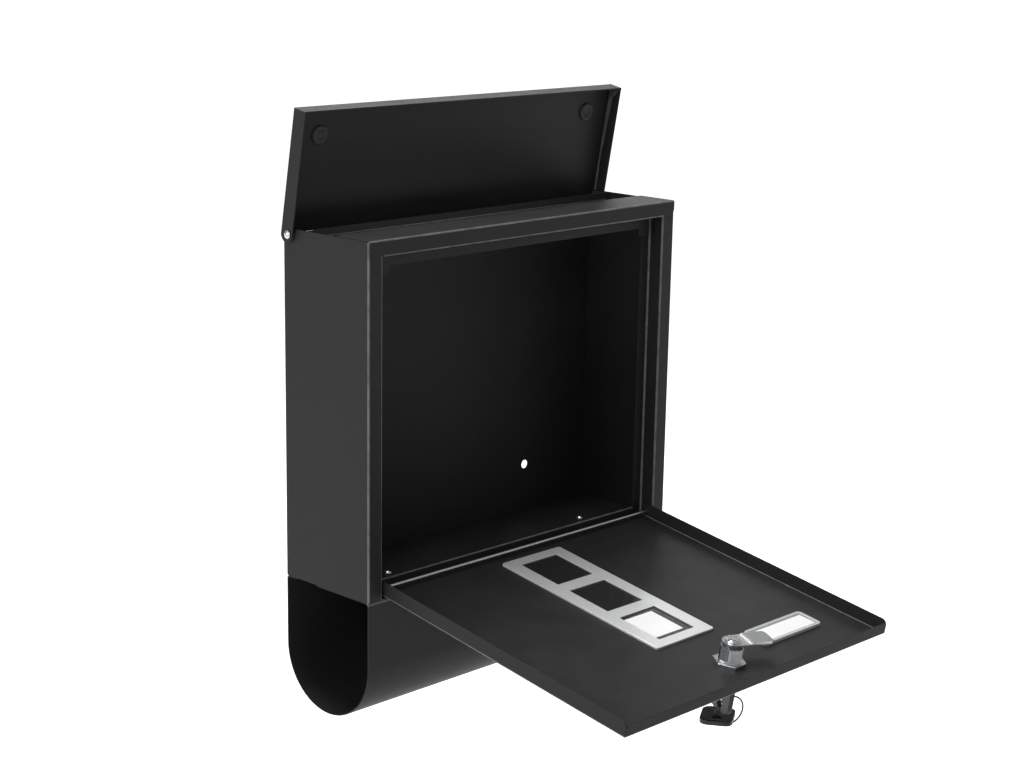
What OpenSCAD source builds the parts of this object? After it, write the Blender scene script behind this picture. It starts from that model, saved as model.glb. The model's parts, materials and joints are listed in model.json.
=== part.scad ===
// Wall mailbox in bent sheet steel: a case with an open newspaper roll under it,
// a lid over the slot, and a drop-down door with windows, a cam lock and a name plate.
// +X is to the right seen from the front, the front faces -Y and +Z is up.
// The wall is the plane y = 0, and the origin is the middle of the four wall holes.
// The lid and the door are modelled open, the way the box is emptied.

/* [Case] */
// Width of the case over its side panels
case_w = 364; // [280:1:440]
// Height of the side panels
case_h = 293; // [240:1:380]
// Depth from the wall to the front of the jambs
case_d = 102; // [85:1:140]
// Thickness of the steel sheet
sheet = 1; // [0.8:0.1:1.2]

/* [Door frame] */
// Width of the front face of each jamb
jamb_w = 15; // [12:0.5:22]
// Depth of the recess that the door closes into
recess_d = 16; // [15:0.5:20]
// Width of the flange that the closed door rests against
seat_w = 11; // [6:0.5:18]
// Height of the lip along the front of the floor
floor_lip_h = 11; // [8:0.5:16]

/* [Top rails] */
// Height of the face of the front rail
rail_face_h = 13.5; // [10:0.5:20]
// Depth of the top of the front rail
rail_top_d = 41; // [32:0.5:48]
// Height of the stop strip under the front rail
rail_strip_h = 10.5; // [8:0.5:14]
// Depth of the gutter behind the mail slot
gutter_d = 26; // [18:0.5:30]
// Height of the lip of the gutter
gutter_lip_h = 7; // [5:0.5:10]

/* [Newspaper roll] */
// Straight height of the roll's walls above its curl
roll_straight_h = 58; // [40:1:90]
// Depth of the roll's rear top flange
roll_rear_flange = 13; // [8:0.5:20]
// Depth of the roll's front top flange
roll_front_flange = 64; // [58:0.5:70]
// Distance from the middle to each roll screw
roll_screw_x = 119; // [60:1:130]
// Distance from the wall to the roll screws
roll_screw_y = 55; // [46:0.5:60]

/* [Wall holes] */
// Distance between the wall holes from left to right
wall_hole_dx = 202; // [120:1:240]
// Distance between the wall holes from bottom to top
wall_hole_dz = 215; // [150:1:225]
// Height of the lower wall holes above the floor
wall_hole_z = 44.5; // [25:0.5:48]
// Diameter of a wall hole
wall_hole_d = 8; // [5:0.5:10]

/* [Lid] */
// Angle that the lid opens to, where its rear edge stops over the back panel
lid_open = 80; // [0:0.1:90]
// Gap between a lid flange and the side of the case
lid_side_gap = 2.5; // [1.5:0.1:4]
// Overhang of the lid in front of the jambs
lid_overhang = 9; // [6:0.5:14]
// Height of the lid's flanges
lid_flange_h = 14; // [12.5:0.5:20]
// Gap between the fully open lid and the wall
lid_wall_gap = 0.2; // [0.2:0.1:4]
// Height of the lid's pivot below the top of the side panels
lid_pivot_drop = 4.5; // [4:0.1:6]
// Thickness of a rubber bumper
bumper_t = 2; // [1.5:0.1:3]
// Diameter of a rubber bumper
bumper_d = 16; // [10:0.5:20]
// Diameter of the lid's pivot screws
pivot_d = 4; // [3:0.5:5]

/* [Door] */
// Angle that the door hangs open at, from closed
door_open = 99.3; // [0:0.1:100]
// Gap between the door and each jamb
door_gap = 2.5; // [1.5:0.1:4]
// Height of the closed door's lower edge above the underside of the case
door_bottom = 3.1; // [2.5:0.1:4]
// Gap between the closed door and the front rail
door_top_gap = 2.5; // [1.5:0.1:4]
// Depth of the door's side flanges
door_flange = 12.8; // [10:0.1:13.5]
// Depth of the flange along the door's free edge
door_top_flange = 10.6; // [8:0.1:11]
// Diameter of the hinge rod
rod_d = 3; // [2.5:0.1:4]
// Height of the rod above the closed door's lower edge
rod_up = 4.5; // [4:0.1:5]
// Depth of the rod behind the door's outer face
rod_in = 5.2; // [4.8:0.1:6]

/* [Windows] */
// Number of windows in the column
window_count = 3; // [1:1:3]
// Side of a square window
window_side = 45; // [30:0.5:50]
// Distance between neighbouring windows
window_pitch = 57; // [53:0.5:62]
// Height of the middle of the column above the door's lower edge
window_mid = 104.8; // [95:0.5:120]
// Width of the inner window plate
plate_w = 71.5; // [62:0.5:90]
// Border of the plate above and below the windows
plate_end = 9.5; // [6:0.5:14]
// Thickness of the inner window plate
plate_t = 1; // [0.8:0.1:1.5]
// Thickness of the clear pane
pane_t = 1; // [0.8:0.1:1.5]

/* [Name plate] */
// Distance from the middle of the door to the middle of the name plate
name_x = 88; // [80:0.5:105]
// Height of the middle of the name plate above the door's lower edge
name_v = 224.5; // [190:0.5:232]
// Width of the name plate's frame
name_w = 76; // [60:0.5:90]
// Height of the name plate's frame
name_h = 25; // [20:0.5:30]
// Depth of the name plate's frame behind the door
name_t = 3; // [2.5:0.1:5]

/* [Lock] */
// Height of the lock above the door's lower edge
lock_v = 239; // [200:0.5:245]
// Diameter of the lock's barrel
barrel_d = 19; // [16:0.5:20]
// Length of the barrel behind the door
barrel_l = 17; // [16.5:0.5:20]
// Width of the barrel across its flats
barrel_flats = 16.5; // [14:0.5:18]
// Width of the lock nut across its flats
nut_af = 24; // [22:0.5:27]
// Thickness of the lock nut
nut_t = 3; // [2.5:0.1:4]
// Distance from the lock's axis to the tip of the cam
cam_reach = 34; // [30:0.5:39]
// Width of the cam
cam_w = 18; // [14:0.5:20]
// Step that the cam makes away from the door
cam_step = 1; // [0.5:0.1:3]

/* [Keys] */
// Angle of the cam from pointing sideways towards pointing up the door
lock_turn = 19; // [0:1:90]
// Width of a key's plastic head
head_w = 27; // [24:0.5:32]
// Length of a key's plastic head
head_l = 32; // [27:0.5:36]
// Thickness of a key's plastic head
head_t = 4.2; // [3.6:0.1:4.4]
// Radius of the key ring to the middle of its wire
ring_r = 13; // [12.5:0.5:15]
// Diameter of the key ring's wire
ring_wire = 1.4; // [1:0.1:1.6]

/* [Hidden] */
$fn = 64;
eps = 0.01;

// case
inner_w = case_w - 2 * sheet;
bottom_z = -(wall_hole_z + wall_hole_dz / 2);
recess_x = case_w / 2 - jamb_w;
seat_y = case_d - recess_d;
rail_top_z = case_h + sheet;
rail_bottom_z = rail_top_z - rail_face_h;
strip_y = seat_y + 2.6;
strip_bottom_z = rail_bottom_z - rail_strip_h;
strip_inset = 6.5;
strip_half_w = recess_x - seat_w - strip_inset;
tab_gap = 1;
tab_w = seat_w + strip_inset - door_gap - sheet - tab_gap;
tab_h = 7;
catch_slot_w = 1.6;
catch_slot_h = 12;
catch_slot_in = 6;
catch_slot_z = strip_bottom_z - tab_h;
gutter_half_w = inner_w / 2 - 6.5;
gutter_z = case_h + 0.5 - gutter_lip_h;
gutter_tail_h = 12;
drain_d = 4;

// fasteners
m4 = 4;
m4_clear = 0.25;
m4_head_d = 8;
m4_head_h = 2.6;
m4_nut_af = 7;
m4_nut_t = 3.2;
run_fit = 0.1;

// roll
roll_r = case_d / 2;

// lid
lid_z = case_h - lid_pivot_drop;
roof_b = lid_pivot_drop + sheet + bumper_t + sheet;
lid_rear_a = -2;
lid_y = -(norm([roof_b, lid_rear_a]) + lid_wall_gap);
lid_front_a = case_d + lid_y + lid_overhang;
lid_w = case_w + 2 * lid_side_gap + 2 * sheet;
lid_ear_r = 7;
lid_ear_b = roof_b - lid_ear_r;
swing_gap = 0.3;
swing_r = roof_b - sheet - swing_gap;
back_top_z = min(case_h, lid_z + lid_rear_a * sin(lid_open) + (roof_b - sheet) * cos(lid_open) - swing_gap);
bumper_x = case_w / 2 - 25;
bumper_a = case_d + lid_y - rail_top_d / 2 + 5;
pivot_head_d = 6.8;
pivot_head_h = 2;
pivot_nut_af = 7;
pivot_nut_t = 3;
spacer_d = 9;

// door
door_w = 2 * (recess_x - door_gap);
door_h = rail_bottom_z - door_top_gap - door_bottom;
rod_y = -(case_d - rod_in);
rod_z = door_bottom + rod_up;
rod_half_l = recess_x + 5;
clip_d = 8;
clip_t = 1;
flange_r = 5;
corner_gap = 0.6;

// windows and name plate
plate_h = (window_count - 1) * window_pitch + window_side + 2 * plate_end;
pane_margin = 4;
name_border = 4;
name_floor_t = 1;
card_t = 0.5;
cover_t = 0.8;
name_hole_w = name_w - 2 * name_border - 6;
name_hole_h = name_h - 2 * name_border - 2;
label_side = 35;
label_t = 0.2;
label_x = -4.4;

// lock
lock_flange_d = 22;
lock_flange_t = 2.2;
gasket_t = 0.6;
plug_d = 13;
plug_gap = 0.1;
plug_face_in = 0.4;
stub_w = 7;
cam_t = 2;
stub_l = cam_t + 0.2;
stop_gap = 0.4;
stop_t = 1.4;
stop_d = 17.5;
cam_z = barrel_l + stop_gap + stop_t;
cam_bend_x = 11;
cam_bend_l = 3;
cam_corner_r = 3;
washer_d = 13;
washer_t = 1;
cam_screw_d = 9;
blade_w = 7.6;
blade_t = 2;
blade_l = 20;
blade_gap = 0.3;
key_neck = 7;
key_out = gasket_t + lock_flange_t - plug_face_in;
head_start = key_out + key_neck;
head_hole_in = 7.4;
head_corner = 7;
head_hole_h = -(head_start + head_l - head_hole_in);
ring_lean = 44;
spare_angle = 34;
spare_yaw = 58;
// how far the slanting ring's wire reaches sideways at a distance along a hole's axis
function wire_reach(x) = ring_r * cos(ring_lean)
    - sqrt(pow(ring_r - ring_wire / 2, 2) - pow(ring_r * sin(ring_lean) + x, 2));
rim_h = 1;
head_hole_r = wire_reach(head_t / 2 - rim_h) + 0.5;
head_rim_r = wire_reach(head_t / 2) + 0.4;

steel_paint = [0.22, 0.22, 0.23];
steel_zinc = [0.8, 0.81, 0.82];
plastic_black = [0.08, 0.08, 0.08];
rubber_dark = [0.2, 0.19, 0.18];

// ---- placement ----
// From case coordinates, whose origin is at the underside of the case on the wall.
module in_frame() { translate([0, 0, bottom_z]) children(); }

// From lid coordinates: x across, a forwards along the closed roof as -y, b up, origin on the pivot.
module on_lid() {
    in_frame() translate([0, lid_y, lid_z]) rotate([-lid_open, 0, 0]) children();
}

// From door coordinates: x across, v up the closed door as z, h inwards as y,
// origin at the lower edge of the outer face.
module on_door() {
    in_frame() translate([0, rod_y, rod_z]) rotate([door_open, 0, 0])
        translate([0, -rod_in, -rod_up]) children();
}

// From lock coordinates: z inwards from the door's outer face along the lock's axis,
// x across the door and y down the closed door.
module on_lock() { on_door() translate([0, 0, lock_v]) rotate([-90, 0, 0]) children(); }

// From plug coordinates: lock coordinates turned with the key, so that the cam points along x.
module on_plug() { on_lock() rotate([0, 0, -lock_turn]) children(); }

// From ring coordinates: the origin in the hole of the key's head, x along the hole,
// y away from the door and z across the key.
module on_ring() { on_plug() translate([0, 0, head_hole_h]) rotate([-90, 0, 0]) children(); }

// ---- shapes ----
// A box from its lowest corner to its highest one.
module block(low, high) { translate(low) cube(high - low); }

// A round bar along X, centred at y and z.
module bar_x(d, x0, x1, y = 0, z = 0) {
    translate([x0, y, z]) rotate([0, 90, 0]) cylinder(d = d, h = x1 - x0);
}

// A rectangle with round corners, centred.
module round_rect(w, h, r) {
    union() {
        square([w - 2 * r, h], center = true);
        square([w, h - 2 * r], center = true);
        for (sx = [-1, 1], sy = [-1, 1]) translate([sx * (w / 2 - r), sy * (h / 2 - r)]) circle(r);
    }
}

// ---- case ----
module side_panel_left() {
    color(steel_paint) in_frame() difference() {
        union() {
            block([-case_w / 2, -case_d, 0], [-case_w / 2 + sheet, 0, case_h]);
            block([-case_w / 2, -case_d, 0], [-recess_x, -case_d + sheet, rail_top_z - sheet]);
            block([-recess_x - sheet, -case_d, 0], [-recess_x, -seat_y, case_h]);
            block([-recess_x - sheet, -seat_y - sheet, 0], [-recess_x + seat_w, -seat_y, case_h]);
        }
        bar_x(rod_d + 2 * run_fit, -recess_x - 3, -recess_x + 3, rod_y, rod_z);
        bar_x(pivot_d + 2 * run_fit, -case_w / 2 - 3, -case_w / 2 + 3, lid_y, lid_z);
        // catch slot beside the end of the stop strip
        block([-recess_x - 3, -seat_y - catch_slot_in, catch_slot_z],
            [-recess_x + eps, -seat_y - catch_slot_in + catch_slot_w, catch_slot_z + catch_slot_h]);
        // rear top corner, rounded about the pivot so that the lid's roof swings past behind it
        difference() {
            block([-case_w / 2 - 1, lid_y, back_top_z], [-case_w / 2 + sheet + 1, 1, case_h + 1]);
            bar_x(2 * swing_r, -case_w / 2 - 2, -case_w / 2 + sheet + 2, lid_y, lid_z);
        }
    }
}

module side_panel_right() { mirror([1, 0, 0]) side_panel_left(); }

module wall_holes() {
    for (x = [-1, 1], z = [0, 1])
        translate([x * wall_hole_dx / 2, -3, wall_hole_z + z * wall_hole_dz])
            rotate([-90, 0, 0]) cylinder(d = wall_hole_d, h = 6);
}

module back_panel() {
    color(steel_paint) in_frame() difference() {
        block([-inner_w / 2, -sheet, 0], [inner_w / 2, 0, back_top_z]);
        wall_holes();
    }
}

module floor_panel() {
    color(steel_paint) in_frame() difference() {
        union() {
            block([-inner_w / 2, -seat_y + sheet, 0], [inner_w / 2, -sheet, sheet]);
            block([-recess_x + seat_w, -seat_y - sheet, 0], [recess_x - seat_w, -seat_y + eps, floor_lip_h]);
            block([-inner_w / 2, -seat_y, 0], [inner_w / 2, -seat_y + sheet + eps, sheet]);
            // hem folded back along the top of the lip
            block([-recess_x + seat_w, -seat_y - eps, floor_lip_h - 5],
                [recess_x - seat_w, -seat_y + sheet, floor_lip_h]);
        }
        for (x = [-1, 1]) translate([x * roll_screw_x, -roll_screw_y, -1])
            cylinder(d = m4 + 2 * m4_clear, h = sheet + 2);
    }
}

module front_rail() {
    color(steel_paint) in_frame() {
        half = inner_w / 2;
        // face with round lower corners, standing just in front of the jambs
        translate([0, -case_d, rail_bottom_z + rail_face_h / 2]) rotate([90, 0, 0])
            linear_extrude(sheet) difference() {
                square([2 * half, rail_face_h], center = true);
                for (s = [-1, 1]) translate([s * half, -rail_face_h / 2]) difference() {
                    square(6, center = true);
                    translate([-s * 3, 3]) circle(3);
                    translate([-s * 3, 0]) square(6, center = true);
                    translate([0, 3]) square(6, center = true);
                }
            }
        block([-half, -case_d - sheet, rail_top_z - sheet], [half, -case_d + rail_top_d - sheet, rail_top_z]);
        block([-recess_x + 0.5, -case_d - eps, rail_bottom_z], [recess_x - 0.5, -strip_y, rail_bottom_z + sheet]);
        block([-strip_half_w, -strip_y - sheet, strip_bottom_z], [strip_half_w, -strip_y, rail_bottom_z + eps]);
        // stiffening fold at the rear of the top
        block([-half + 6, -case_d + rail_top_d - 2 * sheet, rail_top_z - 8],
            [half - 6, -case_d + rail_top_d - sheet, rail_top_z - eps]);
        // tabs that lie on the seat flanges
        for (s = [-1, 1]) {
            x0 = s > 0 ? strip_half_w - eps : -strip_half_w - tab_w;
            block([x0, -strip_y - sheet, strip_bottom_z - tab_h], [x0 + tab_w + eps, -strip_y, rail_bottom_z + eps]);
        }
    }
}

module rear_gutter() {
    // a lip, a floor that falls towards the wall, and a tail on the back panel, in side view
    front = -gutter_d - sheet;
    tail_z = back_top_z - sheet;
    color(steel_paint) in_frame() translate([-gutter_half_w, 0, 0])
        rotate([90, 0, 90]) linear_extrude(2 * gutter_half_w) union() {
            translate([front, gutter_z]) square([sheet, gutter_lip_h]);
            polygon([[front, gutter_z], [-sheet, tail_z], [-sheet, back_top_z], [front, gutter_z + sheet]]);
            translate([-2 * sheet, tail_z - gutter_tail_h]) square([sheet, gutter_tail_h + sheet]);
        }
}

module roll_profile(r) {
    // outline of the curl with its straight walls, in y and z, open at the top
    union() {
        translate([-roll_r, -roll_straight_h]) circle(r, $fn = 128);
        translate([-roll_r - r, -roll_straight_h]) square([2 * r, roll_straight_h]);
    }
}

module newspaper_roll() {
    color(steel_paint) in_frame() difference() {
        translate([-case_w / 2, 0, 0]) rotate([90, 0, 90]) linear_extrude(case_w) {
            difference() {
                roll_profile(roll_r);
                roll_profile(roll_r - sheet);
            }
            translate([-roll_rear_flange, -sheet]) square([roll_rear_flange, sheet]);
            translate([-case_d, -sheet]) square([roll_front_flange, sheet]);
        }
        for (x = [-1, 1]) translate([x * roll_screw_x, -roll_screw_y, -sheet - 1])
            cylinder(d = m4 + 2 * m4_clear, h = sheet + 2);
        // rain drains at the bottom of the curl
        for (x = [-1, 1]) translate([x * roll_screw_x, -roll_r, -roll_straight_h - roll_r - 1])
            cylinder(d = drain_d, h = sheet + 2);
    }
}

module roll_screws() {
    color(steel_zinc) in_frame() for (x = [-1, 1]) translate([x * roll_screw_x, -roll_screw_y, sheet]) {
        // domed head
        intersection() {
            translate([0, 0, m4_head_h - 5]) sphere(r = 5);
            cylinder(d = m4_head_d, h = m4_head_h);
        }
        translate([0, 0, -sheet * 2 - m4_nut_t - 1]) cylinder(d = m4, h = sheet * 2 + m4_nut_t + 1 + eps);
    }
}

module roll_nuts() {
    color(steel_zinc) in_frame() for (x = [-1, 1])
        translate([x * roll_screw_x, -roll_screw_y, -sheet - m4_nut_t]) difference() {
            cylinder(d = m4_nut_af / cos(30), h = m4_nut_t, $fn = 6);
            translate([0, 0, -1]) cylinder(d = m4 + 0.02, h = m4_nut_t + 2);
        }
}

module hinge_rod() { color(steel_zinc) in_frame() bar_x(rod_d, -rod_half_l, rod_half_l, rod_y, rod_z); }

module rod_clips() {
    color(steel_zinc) in_frame() for (s = [-1, 1]) {
        x0 = s > 0 ? recess_x + sheet + 0.3 : -recess_x - sheet - 0.3 - clip_t;
        difference() {
            bar_x(clip_d, x0, x0 + clip_t, rod_y, rod_z);
            bar_x(rod_d + 0.02, x0 - 1, x0 + clip_t + 1, rod_y, rod_z);
        }
    }
}

module pivot_screws() {
    color(steel_zinc) in_frame() for (s = [-1, 1]) {
        out = case_w / 2 + lid_side_gap + sheet;
        x_in = case_w / 2 - sheet - pivot_nut_t - 1;
        mirror([s > 0 ? 0 : 1, 0, 0]) difference() {
            union() {
                bar_x(pivot_d, x_in, out + 0.3 + eps, lid_y, lid_z);
                // domed head
                intersection() {
                    bar_x(pivot_head_d, out + 0.3, out + 0.3 + pivot_head_h, lid_y, lid_z);
                    translate([out + 0.3 + pivot_head_h - 4.5, lid_y, lid_z]) sphere(r = 4.5);
                }
            }
        }
    }
}

module pivot_nuts() {
    color(steel_zinc) in_frame() for (s = [-1, 1]) mirror([s > 0 ? 0 : 1, 0, 0])
        translate([case_w / 2 - sheet - pivot_nut_t, lid_y, lid_z]) rotate([0, 90, 0]) difference() {
            cylinder(d = pivot_nut_af / cos(30), h = pivot_nut_t, $fn = 6);
            translate([0, 0, -1]) cylinder(d = pivot_d + 0.02, h = pivot_nut_t + 2);
        }
}

// ---- lid ----
module lid_side_outline() {
    // one side flange seen from the side: a forwards, b up
    union() {
        translate([0, roof_b - lid_flange_h]) square([lid_front_a, lid_flange_h]);
        translate([lid_rear_a, lid_ear_b]) square([6, lid_ear_r]);
        translate([0, lid_ear_b]) circle(lid_ear_r);
    }
}

module lid_panel() {
    color(steel_paint) on_lid() difference() {
        union() {
            block([-lid_w / 2, -lid_front_a, roof_b - sheet], [lid_w / 2, -lid_rear_a, roof_b]);
            block([-lid_w / 2, -lid_front_a, roof_b - lid_flange_h], [lid_w / 2, -lid_front_a + sheet, roof_b]);
            for (s = [-1, 1]) translate([s > 0 ? lid_w / 2 - sheet : -lid_w / 2, 0, 0])
                mirror([0, 1, 0]) rotate([90, 0, 90]) linear_extrude(sheet) lid_side_outline();
        }
        for (s = [-1, 1]) bar_x(pivot_d + 2 * run_fit, s * lid_w / 2 - 3, s * lid_w / 2 + 3);
    }
}

module lid_spacers() {
    // nylon washers between the lid's flanges and the side panels, held on the case
    color(plastic_black) in_frame() for (s = [-1, 1]) mirror([s > 0 ? 0 : 1, 0, 0]) difference() {
        bar_x(spacer_d, case_w / 2, case_w / 2 + lid_side_gap - 0.3, lid_y, lid_z);
        bar_x(pivot_d + 0.02, case_w / 2 - 1, case_w / 2 + lid_side_gap + 1, lid_y, lid_z);
    }
}

module lid_bumpers() {
    color(rubber_dark) on_lid() for (s = [-1, 1])
        translate([s * bumper_x, -bumper_a, roof_b - sheet - bumper_t]) difference() {
            cylinder(d = bumper_d, h = bumper_t);
            translate([0, 0, -1]) cylinder(d = bumper_d / 2, h = 1.6);
        }
}

// ---- door ----
module window_squares(side, depth, y0) {
    for (i = [0:window_count - 1])
        translate([-side / 2, y0, window_mid + (i - (window_count - 1) / 2) * window_pitch - side / 2])
            cube([side, depth, side]);
}

module door_flange_outline() {
    // a side flange seen from the side: v up, h in, with round inner corners
    union() {
        square([door_h, door_flange - flange_r]);
        translate([flange_r, 0]) square([door_h - 2 * flange_r, door_flange]);
        for (v = [flange_r, door_h - flange_r]) translate([v, door_flange - flange_r]) circle(flange_r);
    }
}

module door_panel() {
    color(steel_paint) on_door() difference() {
        union() {
            block([-door_w / 2, 0, 0], [door_w / 2, sheet, door_h]);
            for (s = [-1, 1]) translate([s > 0 ? door_w / 2 - sheet : -door_w / 2, 0, 0])
                mirror([0, 1, 0]) rotate([0, -90, 180]) linear_extrude(sheet) door_flange_outline();
            block([-door_w / 2 + sheet + corner_gap, 0, door_h - sheet],
                [door_w / 2 - sheet - corner_gap, door_top_flange, door_h]);
        }
        for (s = [-1, 1]) bar_x(rod_d + 2 * run_fit, s * door_w / 2 - 3, s * door_w / 2 + 3, rod_in, rod_up);
        window_squares(window_side, 4, -1);
        translate([0, -1, lock_v]) rotate([-90, 0, 0]) intersection() {
            cylinder(d = barrel_d + 0.4, h = 4);
            cube([barrel_flats + 0.4, barrel_d + 2, 10], center = true);
        }
        translate([name_x - name_hole_w / 2, -1, name_v - name_hole_h / 2])
            cube([name_hole_w, 4, name_hole_h]);
    }
}

module window_pane() {
    color([0.8, 0.85, 0.9, 0.4]) on_door()
        block([-plate_w / 2 + pane_margin, sheet, window_mid - plate_h / 2 + pane_margin],
            [plate_w / 2 - pane_margin, sheet + pane_t, window_mid + plate_h / 2 - pane_margin]);
}

module window_plate() {
    color([0.85, 0.86, 0.86]) on_door() difference() {
        block([-plate_w / 2, sheet, window_mid - plate_h / 2],
            [plate_w / 2, sheet + pane_t + plate_t, window_mid + plate_h / 2]);
        block([-plate_w / 2 + pane_margin, 0, window_mid - plate_h / 2 + pane_margin],
            [plate_w / 2 - pane_margin, sheet + pane_t, window_mid + plate_h / 2 - pane_margin]);
        window_squares(window_side, 6, 0);
    }
}

module window_label() {
    // blank paper label stuck inside the uppermost window
    label_v = window_mid + (window_count - 1) / 2 * window_pitch;
    color("white") on_door() translate([label_x, sheet + pane_t, label_v])
        block([-label_side / 2, 0, -label_side / 2], [label_side / 2, label_t, label_side / 2]);
}

module name_frame() {
    // clear tray on the inside of the door, open towards the room through the door's slot
    color([0.9, 0.92, 0.93, 0.6]) on_door() translate([name_x, sheet, name_v]) difference() {
        rotate([-90, 0, 0]) linear_extrude(name_t) round_rect(name_w, name_h, 4);
        translate([-name_w / 2 + name_border, -1, -name_h / 2 + name_border])
            cube([name_w - 2 * name_border, name_t, name_h - 2 * name_border]);
    }
}

module name_card() {
    color("white") on_door() translate([name_x, sheet + name_t - name_floor_t - card_t, name_v])
        block([-name_w / 2 + name_border + 0.3, 0, -name_h / 2 + name_border + 0.3],
            [name_w / 2 - name_border - 0.3, card_t, name_h / 2 - name_border - 0.3]);
}

module name_cover() {
    // clear window in the door's slot, in front of the card
    color([0.9, 0.92, 0.93, 0.5]) on_door() translate([name_x, 0, name_v]) {
        block([-name_hole_w / 2 + 0.2, 0, -name_hole_h / 2 + 0.2],
            [name_hole_w / 2 - 0.2, sheet, name_hole_h / 2 - 0.2]);
        block([-name_w / 2 + name_border + 0.3, sheet, -name_h / 2 + name_border + 0.3],
            [name_w / 2 - name_border - 0.3, sheet + cover_t - 0.3, name_h / 2 - name_border - 0.3]);
    }
}

// ---- lock ----
module barrel_outline(grow = 0) {
    intersection() {
        circle(d = barrel_d + 2 * grow);
        square([barrel_flats + 2 * grow, barrel_d + 2 * grow + 2], center = true);
    }
}

module lock_housing() {
    color(steel_zinc) on_lock() difference() {
        union() {
            linear_extrude(barrel_l) barrel_outline();
            translate([0, 0, -gasket_t - lock_flange_t]) cylinder(d = lock_flange_d, h = lock_flange_t);
            translate([0, 0, -gasket_t - eps]) linear_extrude(gasket_t + 2 * eps) barrel_outline();
        }
        translate([0, 0, -10]) cylinder(d = plug_d + 2 * plug_gap, h = barrel_l + 20);
    }
}

module lock_gasket() {
    color(plastic_black) on_lock() translate([0, 0, -gasket_t]) difference() {
        cylinder(d = lock_flange_d, h = gasket_t);
        translate([0, 0, -1]) cylinder(d = barrel_d + 0.2, h = gasket_t + 2);
    }
}

module lock_nut() {
    color(steel_zinc) on_lock() translate([0, 0, sheet]) difference() {
        cylinder(d = nut_af / cos(30), h = nut_t, $fn = 6);
        translate([0, 0, -1]) cylinder(d = barrel_d + 0.1, h = nut_t + 2);
    }
}

module lock_plug() {
    face = -gasket_t - lock_flange_t + plug_face_in;
    color(steel_zinc) on_plug() difference() {
        union() {
            translate([0, 0, face]) cylinder(d = plug_d, h = cam_z - face);
            translate([0, 0, cam_z - stop_t]) cylinder(d = stop_d, h = stop_t);
            translate([-stub_w / 2, -stub_w / 2, cam_z - eps]) cube([stub_w, stub_w, stub_l]);
        }
        // keyway
        translate([-blade_t / 2 - blade_gap, -blade_w / 2 - blade_gap, face - 1])
            cube([blade_t + 2 * blade_gap, blade_w + 2 * blade_gap, blade_l - 3.5]);
    }
}

module cam_tip_outline() {
    // the end of the arm, with round corners
    tip_l = cam_reach - cam_bend_x - cam_bend_l;
    union() {
        translate([-eps, -cam_w / 2]) square([tip_l - cam_corner_r + eps, cam_w]);
        translate([-eps, -cam_w / 2 + cam_corner_r]) square([tip_l + eps, cam_w - 2 * cam_corner_r]);
        for (side = [-1, 1])
            translate([tip_l - cam_corner_r, side * (cam_w / 2 - cam_corner_r)]) circle(cam_corner_r);
    }
}

module lock_cam() {
    // arm with a round root and a shallow step before its tip
    bend_end = cam_bend_x + cam_bend_l;
    color(steel_zinc) on_plug() translate([0, 0, cam_z]) difference() {
        union() {
            cylinder(d = cam_w, h = cam_t);
            translate([0, -cam_w / 2, 0]) cube([cam_bend_x, cam_w, cam_t]);
            // sloping length, in side view
            translate([0, cam_w / 2, 0]) rotate([90, 0, 0]) linear_extrude(cam_w)
                polygon([[cam_bend_x - eps, 0], [cam_bend_x - eps, cam_t],
                    [bend_end, cam_t + cam_step], [bend_end, cam_step]]);
            translate([bend_end, 0, cam_step]) linear_extrude(cam_t) cam_tip_outline();
        }
        translate([-stub_w / 2 - 0.05, -stub_w / 2 - 0.05, -1]) cube([stub_w + 0.1, stub_w + 0.1, cam_t + 2]);
    }
}

module cam_washer() {
    color(steel_zinc) on_plug() translate([0, 0, cam_z + stub_l]) difference() {
        cylinder(d = washer_d, h = washer_t);
        translate([0, 0, -1]) cylinder(d = m4 + 0.02, h = washer_t + 2);
    }
}

module cam_screw() {
    color(steel_zinc) on_plug() translate([0, 0, cam_z + stub_l + washer_t]) difference() {
        union() {
            cylinder(d = cam_screw_d, h = 1.8);
            translate([0, 0, -washer_t - eps]) cylinder(d = m4, h = washer_t + 2 * eps);
        }
        translate([-0.6, -5, 1]) cube([1.2, 10, 2]);
        translate([-5, -0.6, 1]) cube([10, 1.2, 2]);
    }
}

// ---- keys ----
// A key along -z, with z = 0 at the lock's face and its hole's axis along x.
module blade_shape() {
    translate([-blade_t / 2, -blade_w / 2, -head_start - 6]) cube([blade_t, blade_w, head_start + 6 - key_out + 14]);
}

module head_outline() {
    union() {
        translate([0, head_corner]) square([head_w, head_l - 2 * head_corner]);
        translate([head_corner, 0]) square([head_w - 2 * head_corner, head_l]);
        for (u = [head_corner, head_w - head_corner], v = [head_corner, head_l - head_corner])
            translate([u, v]) circle(head_corner);
    }
}

module head_hole() {
    // hole for the ring, opened out at both faces
    translate([0, 0, head_hole_h]) rotate([0, 90, 0]) {
        cylinder(r = head_hole_r, h = head_t + 2, center = true);
        for (side = [0, 1]) mirror([0, 0, side]) translate([0, 0, head_t / 2 - rim_h])
            cylinder(r1 = head_hole_r, r2 = head_rim_r + eps, h = rim_h + eps);
    }
}

module head_shape() {
    difference() {
        translate([-head_t / 2, -head_w / 2, -head_start - head_l]) rotate([90, 0, 90])
            linear_extrude(head_t) head_outline();
        translate([-blade_t / 2, -blade_w / 2, -head_start - 6]) cube([blade_t, blade_w, 10]);
        head_hole();
    }
}

module key_blade() { color(steel_zinc) on_plug() blade_shape(); }

module key_head() { color(plastic_black) on_plug() head_shape(); }

module key_ring() {
    // hangs askew in the key's hole
    color(plastic_black) on_ring() translate([ring_r * sin(ring_lean), ring_r * cos(ring_lean), 0])
        rotate_extrude($fn = 96) translate([ring_r, 0]) circle(d = ring_wire, $fn = 24);
}

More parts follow.
